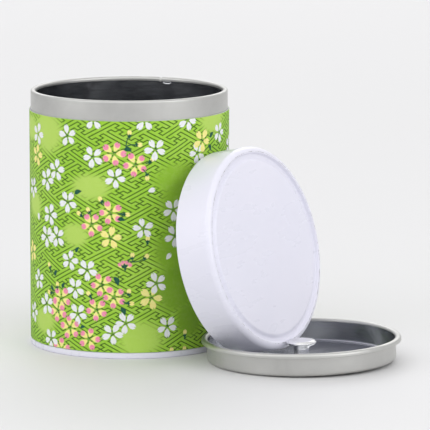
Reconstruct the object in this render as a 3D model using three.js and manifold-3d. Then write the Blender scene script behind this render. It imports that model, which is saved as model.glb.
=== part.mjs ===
// Tea caddy: a double-walled tin can wrapped in printed paper, with its two lids taken off.
// The can stands upright, the inner lid lies beside it, and the outer lid stands on edge
// in the inner lid and leans against the can. Millimetres, +Z up, table at z = 0.

import * as THREE from 'three';
import { mergeVertices } from 'three/addons/utils/BufferGeometryUtils.js';
import Module from 'manifold-3d';

const wasm = await Module();
wasm.setup();

// ---------- driving dimensions ----------

const canRadius = 40; // outside of the paper
const bodyHeight = 94.2; // top edge of the painted tin and its paper
const collarHeight = 8; // bare collar that stands above the body
const sheet = 0.3; // tinplate
const paperThickness = 0.2;
const slip = 0.1; // radial play between tubes pushed into each other
const segments = 60; // facets round a full circle
const knobSegments = 30;

// base of the can
const chimeHeight = 2.3; // rim of the bottom end, folded up round the can
const chimeRadius = 39.85;
const footInner = 38.4; // flat foot of the bottom end, inner edge
const footOuter = 39.6;
const panelHeight = 1.7; // underside of the raised bottom panel
const neckHeight = 2.7; // the tin is necked in below this to sit in the chime
const neckDepth = 0.3;
const neckTaper = 0.5;
const panelCornerUnder = 0.5; // broken corners where the bottom panel meets the foot
const panelCornerTop = 0.4;
const paperGap = 0.2; // bare strip between the chime and the paper

// curled mouth of the sleeve
const curlRadius = 0.95;
const lipDrop = 0.6; // how far the curl comes back down inside the mouth
const sleeveSeamWidth = 5;
const sleeveSeamDepth = 0.5;
const sleeveSeamTurn = 22; // degrees from +Y towards +X
const sleeveSeamMargin = 0.5; // the seam stops this far short of the lip and of the sleeve's foot
const sleeveSeamOverlap = 0.15; // the seam reaches this far into the wall before they are joined

// outer lid
const lidRadius = 40.3;
const lidHeight = 15.5;
const lidSheet = 0.35;
const shoulderRadius = 2.2;
const hemHeight = 2.5;
const hemRadius = 39.6; // inside of the folded hem
const hemStep = 0.4; // height of the step from the hem to the skirt's inside
const lidPanelDrop = 0.6; // flat top panel below the rim
const grooveDrop = 0.95; // groove between the rim and the panel
const crestIn = 0.5; // these four are measured inwards from the rim: end of the round crest,
const grooveOuter = 1.1; // outer side of the groove,
const grooveInner = 1.6; // its inner side,
const panelEdge = 2; // and the panel's edge
const crestDrop = 0.25;
const drawOffset = 0.1; // the underside's corners lie this much off those of the top

// inner lid
const dishWallRadius = 37.1;
const dishRimRadius = 39.2;
const dishHeight = 9.2;
const dishCorner = 1.2; // outside radius between floor and wall
const beadSkirt = 0.7; // straight part of the rolled rim below its curve

// knob and rivet
const knobRadius = 5.9;
const knobTop = 7.6; // above the underside of the inner lid
const stemRadius = 3.1;
const stemFootFlare = 0.3; // the stem's foot is this much wider,
const stemFootHeight = 0.6; // over this height
const flareLow = 2.6; // heights in the cap are measured down from the knob's top
const flareHigh = 2;
const flareReach = 0.5;
const capUnderside = 1.7;
const capEdgeLow = 1.2;
const capEdgeHigh = 0.9;
const capEdgeRound = 0.6;
const bevelWidth = 0.9;
const bevelDrop = 0.15;
const boreEnd = 2.4; // end of the rivet's bore
const shankEnd = 2.6;
const rivetRadius = 1.5;
const rivetBore = 1.7;
const rivetHeadRadius = 3;
const rivetHeadTop = -0.1;
const rivetHeadBottom = -0.58;
const rivetHeadTaper = 0.8;
const rivetHeadTaperHeight = 0.3;

// where the lids lie, measured from the can's axis
const innerLidPlace = [68.2, -41.6];
const innerLidTilt = -1; // degrees about Y: it rocks on its rivet, left side down
const outerLidFace = [54.5, -34.9, 43.8]; // middle of the outer lid's top face
const outerLidTurn = 58.1; // degrees about Z
const outerLidLean = 13.3; // degrees that the top face looks upwards

const degrees = THREE.MathUtils.degToRad;

// ---------- outlines and solids ----------

// Points [r, z] along an arc, angles in degrees, anticlockwise when "to" is larger.
function arc(r, z, radius, from, to, steps = 4) {
  const points = [];
  for (let i = 0; i <= steps; i += 1) {
    const angle = degrees(from + ((to - from) * i) / steps);
    points.push([r + radius * Math.cos(angle), z + radius * Math.sin(angle)]);
  }
  return points;
}

// Turns an outline of [r, z] points round the Z axis. The outline runs anticlockwise.
function turned(outline, count = segments) {
  const points = outline.map(([r, z]) => new THREE.Vector2(r, z));
  return new THREE.LatheGeometry(points, count).rotateX(Math.PI / 2);
}

// The same for an outline that doesn't touch the axis: it closes on its first point.
function turnedRing(outline, count = segments) {
  return turned([...outline, outline[0]], count);
}

function tube(inner, outer, low, high) {
  return turnedRing([[inner, low], [outer, low], [outer, high], [inner, high]]);
}

function toManifold(geometry) {
  const bare = geometry.clone();
  bare.deleteAttribute('normal');
  bare.deleteAttribute('uv');
  const merged = mergeVertices(bare);
  return new wasm.Manifold(new wasm.Mesh({
    numProp: 3,
    vertProperties: new Float32Array(merged.attributes.position.array),
    triVerts: new Uint32Array(merged.index.array),
  }));
}

function toGeometry(manifold) {
  const mesh = manifold.getMesh();
  const geometry = new THREE.BufferGeometry();
  geometry.setAttribute('position', new THREE.BufferAttribute(mesh.vertProperties, 3));
  geometry.setIndex(new THREE.BufferAttribute(mesh.triVerts, 1));
  geometry.computeVertexNormals();
  return geometry;
}

function piece(name, geometry, material) {
  const mesh = new THREE.Mesh(geometry, material);
  mesh.name = name;
  return mesh;
}

// ---------- materials ----------

function finish(color, roughness, metalness) {
  return new THREE.MeshStandardMaterial({ color, roughness, metalness });
}

// ---------- can ----------

const shellOuter = canRadius - paperThickness - slip;
const shellInner = shellOuter - sheet;
const sleeveOuter = shellInner - slip;
const sleeveInner = sleeveOuter - sheet;
const mouthHeight = bodyHeight + collarHeight;

// Bottom disc: raised panel, flat foot and a rim folded up round the can.
function bottomEnd() {
  const wall = chimeRadius - sheet;
  const step = footInner + sheet;
  return turned([
    [0, panelHeight],
    [footInner - panelCornerUnder, panelHeight],
    [footInner, panelHeight - panelCornerUnder],
    [footInner, 0],
    [footOuter, 0],
    [chimeRadius, chimeRadius - footOuter],
    [chimeRadius, chimeHeight],
    [wall, chimeHeight],
    [wall, sheet],
    [step, sheet],
    [step, panelHeight + sheet - panelCornerTop],
    [step - panelCornerTop, panelHeight + sheet],
    [0, panelHeight + sheet],
  ]);
}

// Painted outer tin: a plain tube, necked in at the bottom to stand in the chime.
function outerShell() {
  const foot = 2 * sheet;
  return turnedRing([
    [shellInner - neckDepth, foot],
    [shellOuter - neckDepth, foot],
    [shellOuter - neckDepth, neckHeight],
    [shellOuter, neckHeight + neckTaper],
    [shellOuter, bodyHeight],
    [shellInner, bodyHeight],
    [shellInner, neckHeight + neckTaper],
    [shellInner - neckDepth, neckHeight],
  ]);
}

// Printed paper glued round the painted tin, from above the chime to the top edge.
function washiWrap() {
  return tube(canRadius - paperThickness, canRadius, chimeHeight + paperGap, bodyHeight);
}

// Bare inner tin: a tube whose mouth is curled inwards, with a folded seam down its inside.
function innerSleeve() {
  const low = neckHeight + 2 * neckTaper;
  const curlHeight = mouthHeight - curlRadius;
  const curlCentre = sleeveOuter - curlRadius;
  const lip = curlCentre - curlRadius;
  const tubeAndCurl = turnedRing([
    [sleeveOuter, low],
    ...arc(curlCentre, curlHeight, curlRadius, 0, 180, 6),
    [lip, curlHeight - lipDrop],
    [lip + sheet, curlHeight - lipDrop],
    ...arc(curlCentre, curlHeight, curlRadius - sheet, 180, 0, 6),
    [sleeveInner, low],
  ]);
  const seamHeight = curlHeight - lipDrop - 2 * sleeveSeamMargin - low;
  const seamThickness = sleeveSeamDepth + sleeveSeamOverlap;
  const seamRadius = sleeveInner - (sleeveSeamDepth - sleeveSeamOverlap) / 2;
  const seamBox = new THREE.BoxGeometry(sleeveSeamWidth, seamThickness, seamHeight)
    .translate(0, seamRadius, low + sleeveSeamMargin + seamHeight / 2)
    .rotateZ(-degrees(sleeveSeamTurn));
  return toGeometry(toManifold(tubeAndCurl).add(toManifold(seamBox)));
}

// ---------- outer lid ----------

// Drawn cap: recessed panel, groove, rounded shoulder, straight skirt and a hem folded inwards.
function outerLid() {
  const rim = lidRadius - shoulderRadius;
  const shoulder = lidHeight - shoulderRadius;
  const panel = lidHeight - lidPanelDrop;
  const groove = lidHeight - grooveDrop;
  const skirtInner = lidRadius - lidSheet;
  return turned([
    [0, panel - lidSheet],
    [rim - panelEdge - drawOffset, panel - lidSheet],
    [rim - grooveInner - drawOffset, groove - lidSheet],
    [rim - grooveOuter + drawOffset, groove - lidSheet],
    [rim - crestIn + drawOffset, lidHeight - lidSheet - crestDrop],
    ...arc(rim, shoulder, shoulderRadius - lidSheet, 90, 0),
    [skirtInner, hemHeight + hemStep],
    [hemRadius, hemHeight],
    [hemRadius, 0],
    [lidRadius, 0],
    ...arc(rim, shoulder, shoulderRadius, 0, 90),
    [rim - crestIn, lidHeight - crestDrop],
    [rim - grooveOuter, groove],
    [rim - grooveInner, groove],
    [rim - panelEdge, panel],
    [0, panel],
  ]);
}

// ---------- inner lid ----------

// Plug lid: a shallow dish with a rim rolled outwards and a hole for the rivet.
function innerLidDish() {
  const beadRadius = (dishRimRadius - (dishWallRadius - sheet)) / 2;
  const beadCentre = dishRimRadius - beadRadius;
  const beadHeight = dishHeight - beadRadius;
  const corner = dishWallRadius - dishCorner;
  return turnedRing([
    [rivetBore, 0],
    ...arc(corner, dishCorner, dishCorner, -90, 0),
    ...arc(beadCentre, beadHeight, beadRadius - sheet, 180, 0, 5),
    [dishRimRadius - sheet, beadHeight - beadSkirt],
    [dishRimRadius, beadHeight - beadSkirt],
    ...arc(beadCentre, beadHeight, beadRadius, 0, 180, 6),
    ...arc(corner, dishCorner, dishCorner - sheet, 0, -90, 3),
    [rivetBore, sheet],
  ]);
}

// Mushroom knob: waisted stem and flat cap with a bevelled edge, bored from below.
function knob() {
  const foot = sheet + slip;
  const boreTop = knobTop - boreEnd;
  return turned([
    [0, boreTop],
    [rivetBore, boreTop],
    [rivetBore, foot],
    [stemRadius + stemFootFlare, foot],
    [stemRadius, foot + stemFootHeight],
    [stemRadius, knobTop - flareLow],
    [stemRadius + flareReach, knobTop - flareHigh],
    [knobRadius - capEdgeRound, knobTop - capUnderside],
    [knobRadius, knobTop - capEdgeLow],
    [knobRadius, knobTop - capEdgeHigh],
    [knobRadius - bevelWidth, knobTop - bevelDrop],
    [0, knobTop],
  ], knobSegments);
}

// Rivet: low head under the inner lid, its shank up through the floor into the knob.
function knobRivet() {
  const shankTop = knobTop - shankEnd;
  return turned([
    [0, rivetHeadBottom],
    [rivetHeadRadius - rivetHeadTaper, rivetHeadBottom],
    [rivetHeadRadius, rivetHeadBottom + rivetHeadTaperHeight],
    [rivetHeadRadius, rivetHeadTop],
    [rivetRadius, rivetHeadTop],
    [rivetRadius, shankTop],
    [0, shankTop],
  ], knobSegments);
}

// ---------- assembly ----------

const can = new THREE.Group();
can.add(
  piece('bottom_end', bottomEnd(), finish(0xdfdfea, 0.35, 0)),
  piece('outer_shell', outerShell(), finish(0xe6e6f0, 0.35, 0)),
  piece('washi_wrap', washiWrap(), finish(0x9cc83c, 0.8, 0)),
  piece('inner_sleeve', innerSleeve(), finish(0xb9b9b7, 0.35, 1)),
);

const innerLid = new THREE.Group();
innerLid.add(
  piece('inner_lid_dish', innerLidDish(), finish(0xb2b2ae, 0.38, 1)),
  piece('knob', knob(), finish(0xe8e8e8, 0.12, 1)),
  piece('knob_rivet', knobRivet(), finish(0xd0d0d0, 0.3, 1)),
);
const innerLidLift = (dishWallRadius - dishCorner) * Math.sin(degrees(Math.abs(innerLidTilt)));
innerLid.position.set(innerLidPlace[0], innerLidPlace[1], innerLidLift);
innerLid.rotation.y = degrees(innerLidTilt);

// The lid is modelled open end down. Its group turns the top face away from the can
// and sets the middle of that face at its place.
const outerLidGroup = new THREE.Group();
const lidMesh = piece('outer_lid', outerLid(), finish(0xe6e6f2, 0.3, 0));
lidMesh.position.z = -lidHeight;
outerLidGroup.add(lidMesh);
outerLidGroup.rotation.set(degrees(90 - outerLidLean), 0, degrees(outerLidTurn), 'ZYX');
outerLidGroup.position.set(...outerLidFace);

// The origin is on the table, under the middle of the whole arrangement.
const caddy = new THREE.Group();
caddy.add(can, innerLid, outerLidGroup);
caddy.updateMatrixWorld(true);
const box = new THREE.Box3().setFromObject(caddy, true);
const middle = box.getCenter(new THREE.Vector3());
caddy.position.set(-middle.x, -middle.y, -box.min.z);

export default caddy;
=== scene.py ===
import math
import random

import bmesh
import bpy
from mathutils import Matrix, Vector


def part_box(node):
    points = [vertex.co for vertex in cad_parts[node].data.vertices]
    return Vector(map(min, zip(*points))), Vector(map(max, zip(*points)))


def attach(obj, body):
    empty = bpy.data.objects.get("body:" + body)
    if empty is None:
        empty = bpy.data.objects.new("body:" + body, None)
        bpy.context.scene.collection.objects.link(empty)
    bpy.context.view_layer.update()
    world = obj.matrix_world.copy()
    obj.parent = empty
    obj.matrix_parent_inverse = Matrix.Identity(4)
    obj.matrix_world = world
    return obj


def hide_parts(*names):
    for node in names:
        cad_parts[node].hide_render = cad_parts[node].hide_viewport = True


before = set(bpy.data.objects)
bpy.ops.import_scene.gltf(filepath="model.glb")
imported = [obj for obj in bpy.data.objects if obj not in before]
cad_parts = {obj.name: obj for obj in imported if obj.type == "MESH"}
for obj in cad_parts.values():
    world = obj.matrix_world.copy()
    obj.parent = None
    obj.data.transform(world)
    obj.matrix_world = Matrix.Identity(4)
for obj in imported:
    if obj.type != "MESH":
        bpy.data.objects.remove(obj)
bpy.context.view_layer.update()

# A tea caddy taken apart: the paper-covered can stands open, the inner lid lies beside it,
# and the outer lid stands on edge in the inner lid and leans on the can.
# Outlines and places are in millimetres and become metres when a mesh is made.

scene = bpy.context.scene

MM = 0.001
RING = 360  # steps round a full circle

# ---------- places: the can's from the frame, the lids' measured from the can's middle ----------

paper_low, paper_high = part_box("washi_wrap")
sleeve_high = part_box("inner_sleeve")[1]
can_middle = (paper_low + paper_high) / 2 / MM
CAN_RADIUS = (paper_high.x - paper_low.x) / 2 / MM
PAPER_FOOT = paper_low.z / MM
PAPER_TOP = paper_high.z / MM
MOUTH = sleeve_high.z / MM

CAN_PLACE = Matrix.Translation((can_middle.x, can_middle.y, 0))

DISH_FROM_CAN = (68.2, -41.6)
DISH_TILT = math.radians(-1)
DISH_FOOT = 35.9  # the flat of the dish's underside ends here, and stands on the table
DISH_LIFT = DISH_FOOT * math.sin(-DISH_TILT)
DISH_PLACE = (
    CAN_PLACE
    @ Matrix.Translation((DISH_FROM_CAN[0], DISH_FROM_CAN[1], DISH_LIFT))
    @ Matrix.Rotation(DISH_TILT, 4, "Y")
)

LID_HEIGHT = 15.5
LID_FACE_FROM_CAN = (54.5, -34.9, 43.8)
LID_TURN = math.radians(58.1)
LID_LEAN = math.radians(13.3)
LID_PLACE = (
    CAN_PLACE
    @ Matrix.Translation(LID_FACE_FROM_CAN)
    @ Matrix.Rotation(LID_TURN, 4, "Z")
    @ Matrix.Rotation(math.pi / 2 - LID_LEAN, 4, "X")
    @ Matrix.Translation((0, 0, -LID_HEIGHT))
)


def scaled(place):
    """A place in millimetres as an object's matrix in metres, without scale."""
    matrix = place.copy()
    matrix.translation = place.translation * MM
    return matrix


# ---------- outlines ----------


def arc(r, z, radius, start, end, steps=10):
    """Points (r, z) along an arc, angles in degrees."""
    points = []
    for i in range(steps + 1):
        angle = math.radians(start + (end - start) * i / steps)
        points.append((r + radius * math.cos(angle), z + radius * math.sin(angle)))
    return points


def line(start, end, steps):
    """Points from start to end, both included, at equal steps."""
    return [
        (start[0] + (end[0] - start[0]) * i / steps, start[1] + (end[1] - start[1]) * i / steps)
        for i in range(steps + 1)
    ]


def rounded(points, radii, steps=4):
    """An open outline with each inner corner replaced by a short curve of the given reach."""
    made = [points[0]]
    for before, corner, after, reach in zip(points, points[1:], points[2:], radii):
        corner = Vector(corner)
        towards_before = Vector(before) - corner
        towards_after = Vector(after) - corner
        reach = min(reach, towards_before.length / 2, towards_after.length / 2)
        start = corner + towards_before.normalized() * reach
        end = corner + towards_after.normalized() * reach
        for i in range(steps + 1):
            t = i / steps
            made.append(tuple(start * (1 - t) ** 2 + corner * 2 * t * (1 - t) + end * t * t))
    made.append(points[-1])
    return made


# ---------- meshes ----------


def new_piece(name, mesh, place, body, replaces, materials):
    piece = bpy.data.objects.new(name, mesh)
    scene.collection.objects.link(piece)
    piece.matrix_world = scaled(place)
    for material in materials:
        mesh.materials.append(material)
    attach(piece, body)
    if replaces:
        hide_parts(replaces)


SHARP_FROM = math.radians(32)  # edges that turn by more than this are shaded as sharp


def smooth(mesh):
    mesh.shade_smooth()
    mesh.set_sharp_from_angle(angle=SHARP_FROM)


def lathe(name, outline, closed=False, steps=RING, shape=None, inside_from=None):
    """Turns an outline of (r, z) round Z. Without closed, the outline starts and ends on the axis.
    shape(r, z, turn, index) may move a point of the outline at a turn, in radians from +Y towards +X.
    From the outline's point inside_from on, the faces take the piece's second material."""
    vertices = []
    rows = []
    for index, (r, z) in enumerate(outline):
        if r < 1e-6:
            rows.append([len(vertices)] * steps)
            vertices.append((0, 0, z * MM))
            continue
        row = []
        for i in range(steps):
            turn = 2 * math.pi * i / steps
            radius, height = shape(r, z, turn, index) if shape else (r, z)
            row.append(len(vertices))
            vertices.append((radius * math.sin(turn) * MM, radius * math.cos(turn) * MM, height * MM))
        rows.append(row)
    if closed:
        rows.append(rows[0])
    faces = []
    for lower, upper in zip(rows, rows[1:]):
        for i in range(steps):
            j = (i + 1) % steps
            corners = [lower[i], upper[i], upper[j], lower[j]]
            face = [v for k, v in enumerate(corners) if v != corners[k - 1]]
            faces.append(face)
    mesh = bpy.data.meshes.new(name)
    mesh.from_pydata(vertices, [], faces)
    if inside_from is not None:
        slots = [int(i >= inside_from * steps) for i in range(len(faces))]
        mesh.polygons.foreach_set("material_index", slots)
    work = bmesh.new()
    work.from_mesh(mesh)
    bmesh.ops.recalc_face_normals(work, faces=work.faces)
    work.to_mesh(mesh)
    work.free()
    smooth(mesh)
    return mesh


def wear_at(mesh, circles):
    """Marks where paint is rubbed thin: near circles given as (r, z, reach) in millimetres."""
    values = []
    for vertex in mesh.vertices:
        r = math.hypot(vertex.co.x, vertex.co.y) / MM
        z = vertex.co.z / MM
        nearest = [1 - math.hypot(r - at_r, z - at_z) / reach for at_r, at_z, reach in circles]
        values.append(max(0.0, *nearest))
    mesh.attributes.new("wear", "FLOAT", "POINT").data.foreach_set("value", values)


# ---------- node helpers ----------


class Nodes:
    """A short way to write a material's node tree."""

    def __init__(self, name):
        self.material = bpy.data.materials.new(name)
        self.material.use_nodes = True
        self.tree = self.material.node_tree
        self.shader = self.tree.nodes["Principled BSDF"]
        self.object_place = self.add("ShaderNodeTexCoord").outputs["Object"]

    def add(self, kind, **settings):
        node = self.tree.nodes.new(kind)
        for key, value in settings.items():
            setattr(node, key, value)
        return node

    def join(self, source, socket):
        self.tree.links.new(source, socket)

    def fill(self, socket, value):
        if isinstance(value, bpy.types.NodeSocket):
            self.join(value, socket)
        else:
            socket.default_value = value

    def scale(self, vector, factors):
        node = self.add("ShaderNodeVectorMath", operation="MULTIPLY")
        self.join(vector, node.inputs[0])
        node.inputs[1].default_value = factors
        return node.outputs[0]

    def noise(self, scale, detail=3, roughness=0.5, vector=None, distortion=0):
        node = self.add("ShaderNodeTexNoise")
        self.join(vector or self.object_place, node.inputs["Vector"])
        node.inputs["Scale"].default_value = scale
        node.inputs["Detail"].default_value = detail
        node.inputs["Roughness"].default_value = roughness
        node.inputs["Distortion"].default_value = distortion
        return node.outputs["Fac"]

    def remap(self, value, low, high, to_low=0.0, to_high=1.0):
        node = self.add("ShaderNodeMapRange")
        self.join(value, node.inputs["Value"])
        node.inputs["From Min"].default_value = low
        node.inputs["From Max"].default_value = high
        node.inputs["To Min"].default_value = to_low
        node.inputs["To Max"].default_value = to_high
        return node.outputs["Result"]

    def math(self, operation, first, second=0.0):
        node = self.add("ShaderNodeMath", operation=operation)
        self.fill(node.inputs[0], first)
        self.fill(node.inputs[1], second)
        return node.outputs[0]

    def mix(self, factor, first, second):
        node = self.add("ShaderNodeMix", data_type="RGBA")
        self.fill(node.inputs["Factor"], factor)
        self.fill(node.inputs["A"], first)
        self.fill(node.inputs["B"], second)
        return node.outputs["Result"]

    def attribute(self, name):
        return self.add("ShaderNodeAttribute", attribute_name=name)

    def bump(self, height, strength, distance, under=None):
        node = self.add("ShaderNodeBump")
        node.inputs["Strength"].default_value = strength
        node.inputs["Distance"].default_value = distance
        self.join(height, node.inputs["Height"])
        if under is not None:
            self.join(under, node.inputs["Normal"])
        return node.outputs["Normal"]

    def set(self, **values):
        for key, value in values.items():
            self.fill(self.shader.inputs[key.replace("_", " ")], value)
        return self.material


def colour(red, green, blue):
    """A screen colour, each part from 0 to 255, as the linear colour that a shader takes."""
    made = []
    for part in (red, green, blue):
        share = part / 255
        made.append(share / 12.92 if share <= 0.04045 else ((share + 0.055) / 1.055) ** 2.4)
    return (*made, 1.0)


# ---------- metals and paint ----------


def painted_tin():
    """White lacquer on tinplate: fine orange peel, faint wiping marks and a hint of lavender."""
    n = Nodes("painted_tin")
    cloud = n.noise(18, detail=4)
    tint = n.mix(n.remap(cloud, 0.35, 0.65), colour(228, 228, 241), colour(232, 231, 243))
    wiped = n.noise(60, detail=4, roughness=0.5, vector=n.scale(n.object_place, (1, 3, 1)))
    gloss = n.remap(n.math("ADD", wiped, n.math("MULTIPLY", cloud, 0.6)), 0.5, 1.1, 0.26, 0.30)
    rubbed = n.math("MULTIPLY", n.attribute("wear").outputs["Fac"], n.noise(420, detail=4, roughness=0.7))
    worn = n.remap(rubbed, 0.42, 0.5)
    tint = n.mix(worn, tint, colour(176, 176, 180))
    gloss = n.math("ADD", gloss, n.math("MULTIPLY", worn, 0.12))
    orange_peel = n.math("MULTIPLY", n.noise(700, detail=2), 0.6)
    height = n.math("SUBTRACT", orange_peel, n.math("MULTIPLY", worn, 0.8))
    peel = n.bump(height, 0.03, 0.0002)
    return n.set(
        Base_Color=tint, Roughness=gloss, Metallic=n.math("MULTIPLY", worn, 0.7), Normal=peel, IOR=1.5,
        Coat_Weight=0.2, Coat_Roughness=0.3
    )


def bare_tin(name, tone, shine, relief=1.0):
    """Tinplate as it comes from the mill: rolling lines round the piece and a mottled grey.
    shine is its lowest roughness, and relief scales the height of its lines."""
    n = Nodes(name)
    rolled = n.noise(160, detail=6, roughness=0.6, vector=n.scale(n.object_place, (1, 1, 14)))
    mottle = n.noise(70, detail=3, roughness=0.6, distortion=0.6)
    dark = tuple(part * 0.88 for part in tone[:3]) + (1.0,)
    grey = n.mix(n.remap(mottle, 0.3, 0.7), dark, tone)
    line_roughness = n.remap(rolled, 0.3, 0.7, -0.04, 0.05)
    rough = n.math("ADD", line_roughness, n.remap(mottle, 0.3, 0.7, shine, shine + 0.07))
    lines = n.bump(rolled, 0.12 * relief, 0.0001)
    fine = n.bump(n.noise(1500, detail=2), 0.05 * relief, 0.00006, under=lines)
    return n.set(Base_Color=grey, Metallic=1.0, Roughness=rough, Normal=fine)


def polished_metal():
    """Turned and polished knob: bright, with faint tool rings and a few hairline marks."""
    n = Nodes("polished_knob")
    part = n.add("ShaderNodeSeparateXYZ")
    n.join(n.object_place, part.inputs[0])
    across = n.math("POWER", part.outputs["X"], 2)
    radius = n.math("SQRT", n.math("ADD", across, n.math("POWER", part.outputs["Y"], 2)))
    rings = n.math("SINE", n.math("MULTIPLY", radius, 26000))
    hairs = n.noise(700, detail=4, roughness=0.7, vector=n.scale(n.object_place, (1, 8, 1)))
    rough = n.remap(hairs, 0.3, 0.75, 0.18, 0.30)
    ringed = n.bump(rings, 0.04, 0.00003)
    tone = n.mix(n.remap(hairs, 0.4, 0.7), colour(248, 248, 248), colour(234, 234, 236))
    return n.set(Base_Color=tone, Metallic=1.0, Roughness=rough, Normal=ringed)


def rivet_metal():
    n = Nodes("rivet_metal")
    mottle = n.noise(900, detail=4)
    tone = n.mix(mottle, colour(176, 176, 176), colour(206, 206, 204))
    dents = n.bump(mottle, 0.2, 0.0001)
    return n.set(Base_Color=tone, Metallic=1.0, Roughness=n.remap(mottle, 0.3, 0.7, 0.28, 0.45), Normal=dents)


# ---------- paper and inks ----------


def fibres(n):
    """Washi: long pale fibres that cross at many angles, as a height from 0 to 1."""
    found = None
    for turn, stretch in ((20, 9), (75, 8), (130, 10)):
        spin = n.add("ShaderNodeMapping")
        n.join(n.object_place, spin.inputs["Vector"])
        spin.inputs["Rotation"].default_value = (math.radians(turn), math.radians(turn * 0.7), 0)
        strand = n.noise(420, detail=3, roughness=0.6, vector=n.scale(spin.outputs[0], (1, 1, 1 / stretch)))
        strand = n.remap(strand, 0.52, 0.68)
        found = strand if found is None else n.math("MAXIMUM", found, strand)
    return found


def paper_green(n, threads):
    """The printed green, a little uneven, paler in the plain patches of mist and darkened by painted shade
    beside the outer lid.
    """
    clouds = n.noise(42, detail=5, roughness=0.55)
    green = n.mix(n.remap(clouds, 0.35, 0.68), colour(146, 198, 44), colour(162, 208, 62))
    pulp = n.noise(1300, detail=3, roughness=0.7)
    green = n.mix(n.remap(pulp, 0.35, 0.75, 0, 0.35), green, colour(172, 214, 88))
    green = n.mix(n.math("MULTIPLY", threads, 0.16), green, colour(196, 224, 122))
    mist_and_shade = n.attribute("mist_and_shade").outputs["Fac"]
    green = n.mix(n.remap(mist_and_shade, 0, 1, 0, 0.7), green, colour(190, 217, 108))
    # Painted shade: below zero, the value mixes in a deep green that stands in for the outer lid's shade on
    # the paper.
    return n.mix(n.remap(mist_and_shade, 0, -1, 0, 0.7), green, colour(98, 142, 14))


def paper_relief(n, threads):
    coarse = n.bump(threads, 0.25, 0.00012)
    return n.bump(n.noise(1900, detail=3, roughness=0.7), 0.18, 0.00008, under=coarse)


def washi_material():
    n = Nodes("washi")
    threads = fibres(n)
    return n.set(
        Base_Color=paper_green(n, threads), Roughness=n.remap(threads, 0, 1, 0.78, 0.68),
        Normal=paper_relief(n, threads), IOR=1.4, Sheen_Weight=0.06, Sheen_Roughness=0.5
    )


def fret_ink():
    """Dark green line ink that thins out towards the plain patches."""
    n = Nodes("fret_ink")
    threads = fibres(n)
    grain = n.remap(n.noise(2200, detail=2), 0.3, 0.7, 0.75, 1.0)
    strength = n.math("MULTIPLY", n.attribute("ink").outputs["Fac"], grain)
    shown = n.mix(strength, paper_green(n, threads), colour(30, 74, 8))
    return n.set(Base_Color=shown, Roughness=0.7, Normal=paper_relief(n, threads), IOR=1.4)


def petal_ink():
    """White or yellow petals by their kind. The pink kind is yellow with a pink spot near its tip."""
    n = Nodes("petal_ink")
    threads = fibres(n)
    petal = n.add("ShaderNodeSeparateXYZ")
    n.join(n.attribute("petal").outputs["Vector"], petal.inputs[0])
    kind = petal.outputs["Z"]
    yellow = n.remap(kind, 0.4, 0.6)
    pink_kind = n.remap(kind, 1.4, 1.6)
    grain = n.noise(1100, detail=3, roughness=0.65)
    white = n.mix(n.remap(grain, 0.3, 0.75), colour(243, 243, 246), colour(228, 232, 232))
    lemon = n.mix(n.remap(grain, 0.3, 0.75), colour(250, 242, 158), colour(243, 230, 130))
    ground = n.mix(yellow, white, lemon)
    past = n.math("SUBTRACT", petal.outputs["Y"], 3.0)
    apart = n.math("SQRT", n.math("ADD", n.math("POWER", petal.outputs["X"], 2), n.math("POWER", past, 2)))
    ragged = n.math("ADD", apart, n.remap(grain, 0.3, 0.7, -0.12, 0.12))
    spot = n.math("MULTIPLY", n.remap(ragged, 1.02, 0.86), pink_kind)
    pink = n.mix(n.remap(grain, 0.3, 0.7), colour(246, 156, 184), colour(238, 130, 166))
    painted = n.mix(spot, ground, pink)
    vein = n.remap(n.math("ABSOLUTE", petal.outputs["X"]), 0.0, 0.16, 0.14, 0.0)
    painted = n.mix(vein, painted, colour(196, 206, 150))
    return n.set(Base_Color=painted, Roughness=0.6, Normal=paper_relief(n, threads), IOR=1.4)


def leaf_ink():
    n = Nodes("leaf_ink")
    threads = fibres(n)
    grain = n.noise(1500, detail=3)
    tone = n.mix(n.remap(grain, 0.3, 0.7), colour(16, 74, 60), colour(34, 98, 72))
    return n.set(Base_Color=tone, Roughness=0.6, Normal=paper_relief(n, threads), IOR=1.4)


# ---------- can ----------

SHEET = 0.3
PAPER_DEPTH = 0.3  # the paper with its glue
SHELL_OUTER = CAN_RADIUS - PAPER_DEPTH
SHELL_INNER = SHELL_OUTER - SHEET
SLEEVE_GAP = 0.1  # between the two tubes
SLEEVE_OUTER = SHELL_INNER - SLEEVE_GAP
SLEEVE_INNER = SLEEVE_OUTER - SHEET


def bottom_end(material, inside):
    """Pressed disc: raised panel with one shallow ring, flat foot, rim folded up round the can."""
    rim = 39.85
    foot_inner = 38.4
    draft = 0.02  # the rim is this much narrower at the table
    top = 2.3
    panel = 1.7
    ring_inner = 24
    ring_outer = 27
    ring_side = 0.7
    ring_depth = 0.25
    spread = 0.2  # the ring is this much wider at each side on the upper face
    outside = rounded(
        [
            (0, panel),
            (ring_inner, panel),
            (ring_inner + ring_side, panel - ring_depth),
            (ring_outer - ring_side, panel - ring_depth),
            (ring_outer, panel),
            (foot_inner, panel),
            (foot_inner, 0),
            (rim - draft, 0),
            (rim, top),
            (rim - SHEET, top),
        ],
        (0.4, 0.4, 0.4, 0.4, 0.6, 0.5, 0.45, 0.14),
    )
    upper = panel + SHEET
    upper_side = ring_side - spread / 2
    upper_face = rounded(
        [
            (rim - SHEET, top),
            (rim - SHEET, SHEET),
            (foot_inner + SHEET, SHEET),
            (foot_inner + SHEET, upper),
            (ring_outer + spread, upper),
            (ring_outer - upper_side, upper - ring_depth),
            (ring_inner + upper_side, upper - ring_depth),
            (ring_inner - spread, upper),
            (0, upper),
        ],
        (0.1, 0.1, 0.3, 0.4, 0.4, 0.4, 0.4),
    )
    mesh = lathe("bottom_end_fine", outside + upper_face[1:], inside_from=len(outside))
    wear_at(mesh, [(rim - 0.3, 0, 0.6), (rim - 0.1, top, 0.25)])
    new_piece("bottom_end_fine", mesh, CAN_PLACE, "can", "bottom_end", [material, inside])


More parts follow.
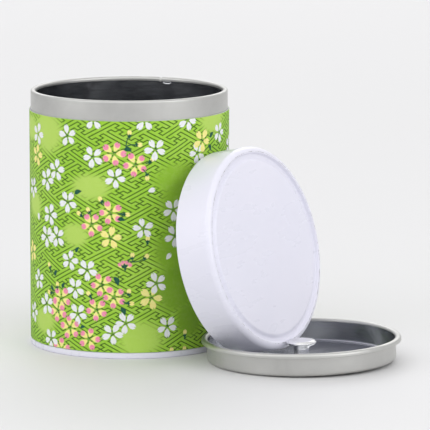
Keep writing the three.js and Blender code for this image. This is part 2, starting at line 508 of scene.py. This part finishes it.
def outer_shell(material):
    """Painted tube, necked in at its foot, with a slightly broken top edge."""
    foot = 0.6
    neck = 0.3
    bend = 2.7
    slope = 0.5
    outline = rounded(
        [
            (SHELL_OUTER - neck, foot),
            (SHELL_OUTER - neck, bend),
            (SHELL_OUTER, bend + slope),
            (SHELL_OUTER, PAPER_TOP),
            (SHELL_INNER, PAPER_TOP),
            (SHELL_INNER, bend + slope),
            (SHELL_INNER - neck, bend),
            (SHELL_INNER - neck, foot),
        ],
        (0.3, 0.3, 0.08, 0.08, 0.3, 0.3),
        steps=3,
    )
    mesh = lathe("outer_shell_fine", outline, closed=True)
    new_piece("outer_shell_fine", mesh, CAN_PLACE, "can", "outer_shell", [material])


SEAM_TURN = math.radians(22)  # the sleeve's folded seam, from +Y towards +X
SEAM_WIDTH = 3.4
SEAM_DEPTH = 0.3
SEAM_SIDE = 0.4  # each side of the seam rises over this width
SEAM_TOP = MOUTH - 2
SEAM_END = 0.6  # the fold's top end slopes back to the wall over this height
FOLD_PLACE = -1.2  # a shallow channel along the seam, where the fold lies on itself
FOLD_REACH = 0.45
FOLD_DEPTH = 0.16
JOINT_TURN = SEAM_TURN - 0.06  # the joint line outside the collar and over the lip
JOINT_REACH = 0.45
JOINT_DEPTH = 0.07
NICK_DEPTH = 0.35


def seam_rise(turn, z):
    """How far the folded seam stands in from the sleeve's wall: a flat band with soft edges."""
    along = (turn - SEAM_TURN) * SLEEVE_INNER
    band = min(1.0, max(0.0, (SEAM_WIDTH / 2 - abs(along)) / SEAM_SIDE))
    band = band * band * (3 - 2 * band)
    fold = FOLD_DEPTH * math.exp(-(((along - FOLD_PLACE) / FOLD_REACH) ** 2))
    height = min(1.0, max(0.0, (SEAM_TOP - z) / SEAM_END))
    return (SEAM_DEPTH - fold) * band * height


def inner_sleeve(material, inside):
    """Bare tube with a curled mouth and a folded seam down its inside."""
    curl = 0.95
    centre = SLEEVE_OUTER - curl
    height = MOUTH - curl
    foot = 3.7
    lip = height - 0.6
    wall_top = MOUTH - 1.6
    seam_full = SEAM_TOP - SEAM_END
    below_seam_end = seam_full - 0.4
    collar_foot = PAPER_TOP - 1
    outer = [(SLEEVE_OUTER, foot), (SLEEVE_OUTER, collar_foot), *arc(centre, height, curl, 0, 180, 14)]
    end = [(centre - curl, lip), (centre - curl + SHEET, lip)]
    inner = arc(centre, height, curl - SHEET, 180, 0, 10)
    wall = [
        *line((SLEEVE_INNER, wall_top), (SLEEVE_INNER, seam_full), 5),
        *line((SLEEVE_INNER, below_seam_end), (SLEEVE_INNER, foot), 6),
    ]
    outline = outer + end + inner + wall
    wall_start = len(outline) - len(wall)

    def shape(r, z, turn, index):
        if index >= wall_start:
            return r - seam_rise(turn, z), z
        nick = math.exp(-(((turn - JOINT_TURN) * SLEEVE_OUTER / JOINT_REACH) ** 2))
        if index < 2:
            return r - JOINT_DEPTH * nick, z
        return r, z - NICK_DEPTH * nick

    mesh = lathe("inner_sleeve_fine", outline, closed=True, steps=2 * RING, shape=shape,
                 inside_from=len(outer))
    new_piece("inner_sleeve_fine", mesh, CAN_PLACE, "can", "inner_sleeve", [material, inside])


# ---------- printed paper ----------

# Places on the paper are (arc, height): millimetres round the can from its front, towards +X,
# and millimetres above the table.

TURN_LENGTH = 2 * math.pi * CAN_RADIUS
PAPER_SURFACE = CAN_RADIUS - 0.17  # leaves room for the inks inside the can's radius
PAPER_BACK = CAN_RADIUS - 0.2
OVERLAP = 6.0  # the paper's end laps over its start by this much, at the back of the can
OVERLAP_RISE = 0.07
OVERLAP_EDGE = 0.15  # width of the step at the paper's free end
OVERLAP_FADE = 2.0  # past the hidden end underneath, the paper settles back over this much


def paper_radius(arc_place):
    """The paper's outside: its free end makes one low step at the back."""
    past = (arc_place + TURN_LENGTH / 2) % TURN_LENGTH
    if past > OVERLAP + OVERLAP_FADE:
        return PAPER_SURFACE
    if past > OVERLAP:
        return PAPER_SURFACE + OVERLAP_RISE * (OVERLAP + OVERLAP_FADE - past) / OVERLAP_FADE
    return PAPER_SURFACE + OVERLAP_RISE * min(1.0, past / OVERLAP_EDGE)


def on_paper(arc_place, height, lift):
    angle = arc_place / CAN_RADIUS
    radius = paper_radius(arc_place) + lift
    return Vector((radius * math.sin(angle), -radius * math.cos(angle), height)) * MM


# Plain patches of mist, where the fret fades: (arc, height, half width, half height, paleness and shade).
# Below zero, the value is painted shade: the patch is made deeper green to stand in for the shade of the
# outer lid leaning beside it, and the half-turn copy repeats it at the back.
MIST_AND_SHADE = [
    (-37, 88, 9, 8, 1), (-15, 68, 8, 5, 1), (-48, 58, 6, 5, 1), (-22, 48.5, 6, 4.5, 1), (-40, 12, 7, 5, 1),
    (5, 8, 9, 7, 0.7), (40, 93, 8, 6, 1), (20, 71, 9, 6, -0.3), (24, 62, 10, 10, -0.6), (19, 42, 8, 9, -0.6),
    (20, 28, 9, 10, -0.8), (26, 15, 6, 7, -0.9), (-52, 88, 7, 5, 1), (33, 50, 12, 14, -0.8),
    (30, 33, 10, 12, -0.9),
]


FRET_COLUMNS = 16
FRET_ROUND = TURN_LENGTH / FRET_COLUMNS  # the fret's period round the can
FRET_UP = 8.31  # and up it
FRET_START = (4.7, 3.66)  # the centre of one of its cells
FRET_ROWS = range(-1, 13)  # rows of cells, from below the paper's foot to above its top
FRET_LINE = 0.41
FRET_DROP = 5 * FRET_UP
FRET_SPAN = 11 * FRET_UP


def half_turn(place):
    """The print repeats every half turn round the can, dropped by five periods of the fret."""
    arc_place, height, *rest = place
    dropped = (height - PAPER_FOOT - FRET_DROP) % FRET_SPAN + PAPER_FOOT
    return (arc_place + TURN_LENGTH / 2, dropped, *rest)


def both_sides(places):
    return places + [half_turn(place) for place in places]


def apart_round(first, second):
    gap = (first - second) % TURN_LENGTH
    return min(gap, TURN_LENGTH - gap)


def mist_and_shade_at(arc_place, height):
    """How plain the paper is, 1 in the middle of a patch and 0 outside, and how pale it is there; below zero,
    that second value is painted shade.
    """
    plain = 0.0
    pale_and_shade = 0.0
    for middle, level, wide, tall, paleness_and_shade in MIST_AND_SHADE_PLACES:
        x = apart_round(arc_place, middle) / wide
        if x > 1.3:
            continue
        y = (height - level) / tall
        depth = min(1.0, max(0.0, (1.25 - math.hypot(x, y)) / 0.5))
        plain = max(plain, depth)
        pale_and_shade = max(pale_and_shade, depth * paleness_and_shade, key=abs)
    return plain, pale_and_shade


MIST_AND_SHADE_PLACES = both_sides(MIST_AND_SHADE)


def wrap_sheet(material):
    """The paper itself: a thin tube whose free end laps over at the back."""
    columns = 480
    rows = 60
    heights = [PAPER_FOOT + (PAPER_TOP - PAPER_FOOT) * i / rows for i in range(rows + 1)]
    vertices = []
    mist_and_shade = []
    for height in heights:
        for i in range(columns):
            place = TURN_LENGTH * i / columns
            vertices.append(on_paper(place, height, 0))
            # The paper's paleness, with painted shade below zero, for each point.
            mist_and_shade.append(mist_and_shade_at(place, height)[1])
    back = len(vertices)
    for height in (PAPER_TOP, PAPER_FOOT):
        for i in range(columns):
            angle = 2 * math.pi * i / columns
            x = PAPER_BACK * math.sin(angle)
            y = -PAPER_BACK * math.cos(angle)
            vertices.append(Vector((x, y, height)) * MM)
            mist_and_shade.append(0.0)
    starts = [row * columns for row in range(rows + 1)] + [back, back + columns, 0]
    faces = []
    for low, high in zip(starts, starts[1:]):
        for i in range(columns):
            j = (i + 1) % columns
            faces.append((low + i, low + j, high + j, high + i))
    mesh = bpy.data.meshes.new("washi_paper")
    mesh.from_pydata(vertices, [], faces)
    mesh.attributes.new("mist_and_shade", "FLOAT", "POINT").data.foreach_set("value", mist_and_shade)
    smooth(mesh)
    new_piece("washi_paper", mesh, CAN_PLACE, "can", "washi_wrap", [material])


# One cell of the key fret, in steps along its two slanting directions, from the cell's centre.
FRET_PATHS = [
    [(0, 0), (0, -1), (-1, -1), (-1, -2), (6, -2), (6, -1), (5, -1), (5, 0)],
    [(0, 0), (1, 0), (1, -1), (2, -1), (2, 6), (1, 6), (1, 5), (0, 5)],
]
FRET_STEPS = 10  # steps in one period
FRET_LIFTS = (0.022, 0.027)  # the two layers of lines stand this far off the paper
FADED = 0.93  # past this much mist a line isn't printed at all


def unit_steps(path):
    """A path's points with every whole step between its corners."""
    points = [path[0]]
    for (s, t), (next_s, next_t) in zip(path, path[1:]):
        count = max(abs(next_s - s), abs(next_t - t))
        for i in range(1, count + 1):
            points.append((s + (next_s - s) * i / count, t + (next_t - t) * i / count))
    return points


def ribbon(points, width):
    """Left and right edges of a flat line with mitred corners."""
    edges = []
    for i, point in enumerate(points):
        before = (point - points[i - 1]).normalized() if i else (points[1] - point).normalized()
        after = (points[i + 1] - point).normalized() if i + 1 < len(points) else before
        middle = (before + after).normalized()
        side = Vector((-middle.y, middle.x))
        reach = width / 2 / max(0.35, side.dot(Vector((-before.y, before.x))))
        edges.append((point + side * reach, point - side * reach))
    return edges


def fret_print(material):
    vertices = []
    faces = []
    ink = []
    mist_and_shade = []
    across = FRET_ROUND / FRET_STEPS
    up = FRET_UP / FRET_STEPS
    for column in range(FRET_COLUMNS):
        for row in FRET_ROWS:
            centre = Vector((FRET_START[0] + FRET_ROUND * column, FRET_START[1] + FRET_UP * row))
            for path, lift in zip(FRET_PATHS, FRET_LIFTS):
                for sign in (1, -1):
                    steps = [Vector(((s + t) * across, (s - t) * up)) * sign for s, t in unit_steps(path)]
                    middles = [centre + step for step in steps]
                    patches = [mist_and_shade_at(*point) for point in middles]
                    inked = [1 - plain for plain, _ in patches]
                    edges = ribbon(middles, FRET_LINE)
                    for i in range(len(edges) - 1):
                        if max(inked[i], inked[i + 1]) < 1 - FADED:
                            continue
                        corners = [*edges[i], *reversed(edges[i + 1])]
                        start = len(vertices)
                        vertices += [on_paper(c.x, c.y, lift) for c in corners]
                        for k in (i, i, i + 1, i + 1):
                            ink.append(inked[k])
                            # The paper's paleness, with painted shade below zero, so faded lines match the
                            # paper under them.
                            mist_and_shade.append(patches[k][1])
                        faces.append(tuple(range(start, start + 4)))
    finish_print("fret_print", vertices, faces, {"ink": ("FLOAT", ink), "mist_and_shade": ("FLOAT", mist_and_shade)}, material)


WELD = 0.002 * MM  # points nearer than this become one
PAPER_MARGIN = 0.1  # no ink this near the paper's edges


def finish_print(name, vertices, faces, layers, material):
    """Makes a layer of ink from its faces: ends welded, trimmed at the paper's edges, facing out."""
    mesh = bpy.data.meshes.new(name)
    mesh.from_pydata(vertices, [], faces)
    for layer, (kind, values) in layers.items():
        made = mesh.attributes.new(layer, kind, "POINT")
        flat = values if kind == "FLOAT" else [part for value in values for part in value]
        made.data.foreach_set("value" if kind == "FLOAT" else "vector", flat)
    work = bmesh.new()
    work.from_mesh(mesh)
    bmesh.ops.remove_doubles(work, verts=work.verts, dist=WELD)
    for edge, facing in ((PAPER_FOOT + PAPER_MARGIN, -1), (PAPER_TOP - PAPER_MARGIN, 1)):
        everything = [*work.verts, *work.edges, *work.faces]
        bmesh.ops.bisect_plane(
            work, geom=everything, plane_co=(0, 0, edge * MM), plane_no=(0, 0, facing), clear_outer=True
        )
    for face in work.faces:
        face.normal_update()
        middle = face.calc_center_median()
        if face.normal.dot(Vector((middle.x, middle.y, 0))) < 0:
            face.normal_flip()
    work.to_mesh(mesh)
    work.free()
    mesh.shade_smooth()
    new_piece(name, mesh, CAN_PLACE, "can", None, [material])


WHITE, YELLOW, PINK = 0, 1, 2

WHITE_BLOSSOMS = [
    (-44.2, 86.3), (-25.3, 87.6), (-13.6, 94.5), (6.8, 94.5), (-13.9, 80), (11.1, 83.1), (-31.4, 73.4),
    (-37.3, 69.1), (-4.8, 71.9), (-25.3, 61.4), (-35.4, 55.3), (-37.6, 46.3), (-31.1, 46.9), (6.1, 51.9),
    (18.6, 58.8), (19.3, 48.4), (-24.5, 38.1), (-16.5, 35), (-44.2, 28.1), (-21.9, 27.2), (11.4, 30),
    (-37.9, 19.1), (-20.8, 17.2), (-0.8, 14.4), (-6.1, 10), (15.8, 12.5), (-35.1, 5.6), (-49.8, 14.1),
    (-50.1, 64.1), (30.2, 80.3), (25.2, 93.8), (44.5, 87), (47, 70), (37, 60), (52, 52), (43, 38),
    (35, 24), (50, 17), (57, 80), (40, 8),
]
PINK_BLOSSOMS = [
    (-5.4, 81.6), (3.1, 77.2), (-6.7, 58.1), (-14.5, 53.1), (-10.4, 29.4), (-5.4, 24.7), (-28.9, 22.5),
    (-12.6, 19.4), (-24.5, 11.3), (-15.8, 7.5), (-30.9, 17.5), (-29.2, 2), (56, 34), (50, 29.5),
    (47, 60), (54, 64),
]
YELLOW_BLOSSOMS = [(-45.1, 77.8), (32.7, 85), (-6.7, 48.1), (9.3, 24.4), (-51.4, 38.4), (42, 48), (57, 8)]
# (arc, height, direction in degrees)
LOOSE_PETALS = [(8.2, 66.6, 15), (-43.9, 51.9, 100), (15.6, 39.3, 50), (37, 71, 200)]
BUDS = [
    (0.9, 89.7, 90), (4.8, 85, 0), (9.9, 79.1, 45), (7.8, 72, -80), (-10.8, 63.4, 130), (-15.9, 58.9, 120),
    (-20, 57.2, 150), (-0.1, 57.5, 0), (8, 47.8, 90), (1.9, 41.3, 90), (7.5, 40.8, 50), (-36.1, 35, 120),
    (-36.1, 24.1, 170), (-15.9, 25.6, 130), (0.5, 26.9, 90), (1.4, 22.2, 0), (23.8, 9.4, 90),
    (17.7, 2.8, 80), (23.6, 2.8, 100), (-31.1, 27.8, 90), (59, 38, 30), (52, 69, 90), (44, 64, 150),
]
# (arc, height, direction, length)
LEAVES = [
    (-1.4, 83.4, -18, 3.4), (-22, 64.8, 22, 3.6), (37.6, 85.6, 40, 3.2), (36.6, 83, -60, 3.2),
    (-4.0, 55.6, -8, 3.2), (-21.6, 41.6, 55, 2.8), (-32.6, 31, 62, 3), (-5.3, 32.8, -68, 4),
    (-2.7, 20.6, -65, 3.6), (-28.4, 26.6, 60, 2.8), (-33.4, 25.0, 115, 2.8), (-19.6, 11.8, 10, 2.4),
    (58, 30, -30, 3.6), (50, 66, 200, 3.2), (44, 45, 20, 3),
]
# (start, end, bow)
STEMS = [
    ((-0.4, 83.2), (0.8, 88.6), 0.5), ((0.0, 84.6), (3.8, 85.0), 0.3), ((7.2, 77.6), (9.2, 78.7), -0.2),
    ((6.0, 75.4), (7.6, 72.9), 0.3), ((-9.6, 61.0), (-10.4, 62.8), 0.2), ((-3.6, 57.8), (-1.0, 57.5), 0.2),
    ((0.2, 38.6), (1.8, 40.6), 0.3), ((0.8, 38.9), (6.6, 40.2), -0.7), ((7.6, 45.2), (8.0, 47.0), 0.1),
    ((-2.4, 25.4), (0.3, 26.2), 0.3), ((-2.0, 23.2), (0.8, 22.3), -0.3), ((-14.4, 23.4), (-15.6, 25.0), 0.1),
    ((-34.6, 31.8), (-35.8, 34.3), 0.2), ((-32.6, 24.6), (-35.3, 24.2), 0.3), ((23.6, 6.6), (23.8, 8.6), 0.1),
    ((53, 66), (52.2, 68.2), 0.2), ((56.6, 35.6), (58.6, 37.6), 0.2),
]
# A blossom seen from the side: (arc, height, direction)
FANS = [(-1.1, 36.0, 90)]


class Print:
    """Collects the flat faces of one ink, with a value for each vertex where it has any."""

    def __init__(self):
        self.vertices = []
        self.faces = []
        self.values = []

    def grid(self, rows, lift, values=()):
        """Faces between rows of (arc, height) points of equal length."""
        start = len(self.vertices)
        width = len(rows[0])
        for row in rows:
            self.vertices += [on_paper(point.x, point.y, lift) for point in row]
        for row_values in values:
            self.values += row_values
        for i in range(len(rows) - 1):
            for j in range(width - 1):
                corner = start + i * width + j
                self.faces.append((corner, corner + 1, corner + width + 1, corner + width))


def turned_point(place, angle, along, across):
    """A point reached from a place by going along a direction and then across it."""
    return Vector((
        place[0] + math.cos(angle) * along - math.sin(angle) * across,
        place[1] + math.sin(angle) * along + math.cos(angle) * across,
    ))


PETAL_LENGTH = 3.35
PETAL_HALF_WIDTH = 1.06
PETAL_START = 0.75
PETAL_ROWS = 9
PETAL_SIDE = 3  # columns at each side of a petal's middle
NOTCH = 0.30
SHOULDER = 0.15
BLOSSOM_SIZE = {WHITE: 1.13, YELLOW: 1.22, PINK: 1.26}


def petal(ink, place, angle, kind, lift, size, start=PETAL_START):
    """A drop shape, narrow at the blossom's middle, with a notch in its outer edge."""
    rows = []
    values = []
    for i in range(PETAL_ROWS + 1):
        v = i / PETAL_ROWS
        half = PETAL_HALF_WIDTH * math.sin(math.pi * (0.05 + 0.79 * v))
        row = []
        row_values = []
        for j in range(-PETAL_SIDE, PETAL_SIDE + 1):
            a = j / PETAL_SIDE
            notch = NOTCH * max(0.0, 1 - abs(a) * 1.7) * v ** 5
            shoulder = SHOULDER * abs(a) ** 3 * v ** 3
            along = start + PETAL_LENGTH * v * (1 - notch - shoulder)
            row.append(turned_point(place, angle, along * size, a * half * size))
            row_values.append((a * half, along, kind))
        rows.append(row)
        values.append(row_values)
    ink.grid(rows, lift, values)


def leaf(ink, place, angle, length, width, lift):
    """A pointed leaf, widest before its middle."""
    steps = 8
    rows = []
    for i in range(steps + 1):
        v = i / steps
        half = width / 2 * math.sin(math.pi * v ** 0.8) * (1 - 0.25 * v) + 0.02
        bend = 0.12 * length * math.sin(math.pi * v)
        rows.append([turned_point(place, angle, length * v, bend + a * half) for a in (-1, 0, 1)])
    ink.grid(rows, lift)


def stroke(ink, start, end, bow, width, lift):
    """A thin line that bows to one side and narrows towards its end."""
    steps = 6
    start = Vector(start)
    reach = Vector(end) - start
    side = Vector((-reach.y, reach.x)).normalized()
    rows = []
    for i in range(steps + 1):
        t = i / steps
        middle = start + reach * t + side * bow * math.sin(math.pi * t)
        half = width / 2 * (1 - 0.35 * t)
        rows.append([middle - side * half, middle + side * half])
    ink.grid(rows, lift)


PETALS = 5
FIFTH = 360 / PETALS  # degrees from one petal to the next
BLOSSOM_LIFT = 0.045
NEIGHBOUR_STEP = 0.007  # neighbours in the list differ by this much in height
LIFT_LEVELS = 5
LINE_RISE = 0.004  # the green lines lie this far over their petals
LINE_WIDTH = 0.16


def calyx(green, place, angle, lift, size):
    """Three small pointed sepals that hold a bud or a side-on blossom, and a short stalk end."""
    for turn in (-48, 0, 48):
        leaf(green, place, angle + math.radians(turn), 1.25 * size, 0.75 * size, lift)
    leaf(green, place, angle + math.pi, 0.9 * size, 0.6 * size, lift)


def blossom(petals, green, place, kind, index):
    """Five petals with a fine green line between each two. Neighbours in the list lie at their
    own small height, so blossoms that overlap don't share a surface."""
    shuffle = random.Random(index * 31 + kind)
    turn = shuffle.uniform(0, FIFTH)
    size = BLOSSOM_SIZE[kind] * shuffle.uniform(0.95, 1.04)
    lift = BLOSSOM_LIFT + NEIGHBOUR_STEP * (index % LIFT_LEVELS)
    for k in range(PETALS):
        angle = math.radians(turn + FIFTH * k + shuffle.uniform(-4, 4))
        petal(petals, place, angle, kind, lift, size * shuffle.uniform(0.95, 1.04))
        between = angle + math.radians(FIFTH / 2)
        start = turned_point(place, between, 0.1, 0)
        end = turned_point(place, between, shuffle.uniform(1.0, 1.5), 0)
        stroke(green, start, end, 0.05, LINE_WIDTH, lift + LINE_RISE)


LOOSE_LIFT = 0.04  # heights of the inks off the paper, low to high
BUD_LIFT = 0.05
STEM_LIFT = 0.08
CALYX_LIFT = 0.085
STEM_WIDTH = 0.45


def blossom_print(petal_material, leaf_material):
    petals = Print()
    green = Print()
    index = 0
    for kind, places in ((PINK, PINK_BLOSSOMS), (YELLOW, YELLOW_BLOSSOMS), (WHITE, WHITE_BLOSSOMS)):
        for place in both_sides(places):
            blossom(petals, green, place, kind, index)
            index += 1
    for arc_place, height, direction in both_sides(LOOSE_PETALS):
        petal(petals, (arc_place, height), math.radians(direction), WHITE, LOOSE_LIFT, 0.95, start=0)
    for arc_place, height, direction in both_sides(BUDS):
        angle = math.radians(direction)
        middle = turned_point((arc_place, height), angle, -1.5, 0)
        petal(petals, middle, angle, YELLOW, BUD_LIFT, 0.84, start=0.2)
        calyx(green, middle, angle, CALYX_LIFT, 0.95)
    for arc_place, height, direction in both_sides(FANS):
        angle = math.radians(direction)
        for turn in (-52, -18, 16, 50):
            petal(petals, (arc_place, height), angle + math.radians(turn), PINK, BUD_LIFT, 0.9)
        calyx(green, (arc_place, height + 0.4), angle, CALYX_LIFT, 1.5)
    for arc_place, height, direction, length in both_sides(LEAVES):
        leaf(green, (arc_place, height), math.radians(direction), length, 0.56 * length, STEM_LIFT)
    for start, end, bow in STEMS:
        stroke(green, start, end, bow, STEM_WIDTH, STEM_LIFT)
        moved = half_turn(start)
        moved_end = Vector(moved) + Vector(end) - Vector(start)
        stroke(green, moved, moved_end, bow, STEM_WIDTH, STEM_LIFT)
    finish_print("blossom_print", petals.vertices, petals.faces,
                 {"petal": ("FLOAT_VECTOR", petals.values)}, petal_material)
    finish_print("leaf_print", green.vertices, green.faces, {}, leaf_material)


# ---------- lids ----------


def outer_lid(material):
    """Drawn cap: flat panel in a groove, round shoulder, straight skirt, hem folded inwards."""
    radius = 40.3
    sheet = 0.35
    shoulder = 2.2
    rim = radius - shoulder
    turn_down = LID_HEIGHT - shoulder
    panel = LID_HEIGHT - 0.35
    groove = LID_HEIGHT - 1.3
    skirt = radius - sheet
    hem = 39.6
    hem_low = 2.6
    hem_high = 3.2
    # Distances in from the rim, on the outer face.
    crest_in = 0.4
    groove_outer = 0.9
    groove_inner = 2.3
    panel_edge = 3.5
    panel_flat = 4.4
    crest_drop = 0.06
    offset = 0.1  # the sheet's inner face turns this much earlier or later
    inside = rounded(
        [
            (0, panel - sheet),
            (rim - panel_edge + offset, panel - sheet),
            (rim - groove_inner - 2 * offset, groove - sheet),
            (rim - groove_outer - offset, groove - sheet),
            (rim - crest_in, LID_HEIGHT - sheet - 2 * offset),
            (rim, LID_HEIGHT - sheet),
        ],
        (0.3, 0.25, 0.25, 0.3),
    )
    folded = rounded(
        [
            (skirt, turn_down),
            (skirt, hem_high),
            (hem, hem_low),
            (hem, 0),
            (radius, 0),
            (radius, turn_down),
        ],
        (0.5, 0.4, 0.33, 0.33),
        steps=6,
    )
    outside = rounded(
        [
            (rim, LID_HEIGHT),
            (rim - crest_in, LID_HEIGHT - crest_drop),
            (rim - groove_outer, groove),
            (rim - groove_inner, groove),
            (rim - panel_edge, panel),
            (rim - panel_flat, panel),
            (0, panel),
        ],
        (0.3, 0.4, 0.5, 0.7, 0.1),
        steps=6,
    )
    outline = [
        *inside,
        *arc(rim, turn_down, shoulder - sheet, 90, 0)[1:],
        *folded[1:],
        *arc(rim, turn_down, shoulder, 0, 90, 16)[1:],
        *outside[1:],
    ]
    mesh = lathe("outer_lid_fine", outline)
    wear_at(mesh, [(radius - 0.3, 0, 0.7), (rim, LID_HEIGHT, 0.5)])
    new_piece("outer_lid_fine", mesh, LID_PLACE, "outer_lid", "outer_lid", [material])


RIVET_BORE = 1.7


def inner_lid_dish(material, inside):
    """Plug lid: a shallow dish with its rim rolled outwards and a hole for the rivet."""
    wall = 37.1
    rim = 39.2
    height = 9.2
    corner = 1.2
    floor_middle = 20
    bead = (rim - (wall - SHEET)) / 2
    centre = rim - bead
    bead_height = height - bead
    skirt = bead_height - 0.7
    underside = [(RIVET_BORE, 0), (floor_middle, 0), *arc(wall - corner, corner, corner, -90, 0)]
    under_bead = arc(centre, bead_height, bead - SHEET, 180, 0, 14)
    edge = [(rim - SHEET, skirt), (rim - 0.2, skirt - 0.05), (rim, skirt + 0.1)]
    over_bead = arc(centre, bead_height, bead, 0, 180, 18)
    corner_inside = arc(wall - corner, corner, corner - SHEET, 0, -90)
    floor = [*corner_inside, (floor_middle, SHEET), (RIVET_BORE, SHEET)]
    outline = underside + under_bead + edge + over_bead + floor
    mesh = lathe("inner_lid_fine", outline, closed=True, inside_from=len(outline) - len(floor) - 1)
    new_piece("inner_lid_fine", mesh, DISH_PLACE, "inner_lid", "inner_lid_dish",
              [material, inside])


def knob(material):
    """Mushroom knob: foot ring, waisted stem that flares into a thin cap with a bevelled edge."""
    top = 7.6
    cap = 5.9
    foot = 0.4
    foot_ring = 3.4
    foot_chamfer = 0.3
    neck = 3.0
    waist = 2.85
    bore_end = top - 2.4
    flare_start = 4.0
    flare_height = 1.7
    flare_reach = 2.1
    stem = rounded(
        [
            (RIVET_BORE + foot_chamfer, foot),
            (foot_ring, foot),
            (foot_ring, 1.1),
            (neck, 1.5),
            (waist, 3.4),
            (waist, 3.9),
        ],
        (0.2, 0.25, 0.25, 0.5),
    )
    flare = []
    for i in range(11):
        t = i / 10
        flare.append((waist + flare_reach * t ** 2.2, flare_start + flare_height * t))
    head = rounded(
        [
            (cap - 0.7, top - 1.78),
            (cap - 0.1, top - 1.3),
            (cap - 0.02, top - 0.95),
            (cap - 0.85, top - 0.17),
            (cap - 1.6, top - 0.1),
            (0, top),
        ],
        (0.3, 0.16, 0.25, 0.3),
        steps=5,
    )
    outline = [(0, bore_end), (RIVET_BORE, bore_end), (RIVET_BORE, foot), *stem, *flare, *head]
    mesh = lathe("knob_fine", outline, steps=180)
    new_piece("knob_fine", mesh, DISH_PLACE, "inner_lid", "knob", [material])


def knob_rivet(material):
    """Low round rivet head under the dish, with its shank up into the knob."""
    head_low = -0.58
    head_top = -0.1
    head = 3
    shank = 1.5
    shank_top = 5
    outline = rounded(
        [
            (1.0, head_low),
            (2.5, -0.5),
            (head, -0.28),
            (head, head_top),
            (shank, head_top),
            (shank, shank_top),
            (0, shank_top),
        ],
        (0.4, 0.25, 0.1, 0.1, 0.2),
    )
    mesh = lathe("knob_rivet_fine", [(0, head_low), *outline], steps=120)
    new_piece("knob_rivet_fine", mesh, DISH_PLACE, "inner_lid", "knob_rivet", [material])


# ---------- table, light and camera ----------


def table():
    """A wide pale table top."""
    n = Nodes("table_top")
    cloud = n.noise(3, detail=4)
    tone = n.mix(cloud, (0.725, 0.723, 0.725, 1), (0.74, 0.738, 0.742, 1))
    fine = n.bump(n.noise(300, detail=3), 0.05, 0.0002)
    material = n.set(Base_Color=tone, Roughness=0.6, Normal=fine)
    mesh = bpy.data.meshes.new("table")
    work = bmesh.new()
    bmesh.ops.create_circle(work, cap_ends=True, segments=96, radius=9)
    work.to_mesh(mesh)
    work.free()
    mesh.materials.append(material)
    top = bpy.data.objects.new("table", mesh)
    scene.collection.objects.link(top)


def softbox(name, place, aim, size, power):
    light = bpy.data.lights.new(name, "AREA")
    light.shape = "RECTANGLE"
    light.size, light.size_y = size
    light.energy = power
    lamp = bpy.data.objects.new(name, light)
    scene.collection.objects.link(lamp)
    lamp.location = place
    lamp.rotation_euler = (Vector(aim) - Vector(place)).to_track_quat("-Z", "Y").to_euler()


SURROUND_FRONT = 0.73  # strength of the even light from the front, and from behind the object
SURROUND_BACK = 0.77


def studio():
    """A pale even surround, slightly brighter behind, with large soft boxes."""
    world = bpy.data.worlds.new("studio")
    scene.world = world
    world.use_nodes = True
    tree = world.node_tree
    background = tree.nodes["Background"]
    direction = tree.nodes.new("ShaderNodeTexCoord")
    part = tree.nodes.new("ShaderNodeSeparateXYZ")
    tree.links.new(direction.outputs["Generated"], part.inputs[0])
    behind = tree.nodes.new("ShaderNodeMapRange")
    tree.links.new(part.outputs["Y"], behind.inputs["Value"])
    behind.inputs["From Min"].default_value = -0.7
    behind.inputs["From Max"].default_value = 0.3
    behind.inputs["To Min"].default_value = SURROUND_FRONT
    behind.inputs["To Max"].default_value = SURROUND_BACK
    tree.links.new(behind.outputs["Result"], background.inputs["Strength"])
    background.inputs["Color"].default_value = (0.99, 0.99, 1.0, 1)
    middle = (0, 0, 0.05)
    softbox("box_left", (-1.45, -0.7, 0.8), middle, (1.2, 1.2), 3.8)
    softbox("box_right", (1.4, -0.95, 0.85), middle, (1.3, 1.2), 7.2)
    softbox("box_top", (-0.2, -1.2, 1.5), middle, (2.6, 2.0), 11)
    softbox("box_back", (0.0, 2.4, 1.5), (0, 1.4, 0), (3.4, 1.4), 22)


def camera():
    """The viewer stands in front and looks slightly down."""
    look_down = math.radians(9.06)
    view = bpy.data.cameras.new("camera")
    view.sensor_width = 36
    view.lens = 347.8
    view.clip_end = 60
    stand = bpy.data.objects.new("camera", view)
    scene.collection.objects.link(stand)
    stand.location = (0.000567, -1.6226, 0.313)
    stand.rotation_euler = (math.pi / 2 - look_down, 0, 0)
    scene.camera = stand


# ---------- assembly ----------

paint = painted_tin()
tin = bare_tin("bare_tin", colour(202, 202, 199), 0.37)
tin_inside = bare_tin("bare_tin_inside", colour(196, 198, 202), 0.15, relief=0.4)

bottom_end(paint, tin_inside)
outer_shell(paint)
inner_sleeve(tin, tin_inside)
wrap_sheet(washi_material())
fret_print(fret_ink())
blossom_print(petal_ink(), leaf_ink())
outer_lid(paint)
inner_lid_dish(tin, tin_inside)
knob(polished_metal())
knob_rivet(rivet_metal())

table()
studio()
camera()

scene.view_settings.view_transform = "Standard"
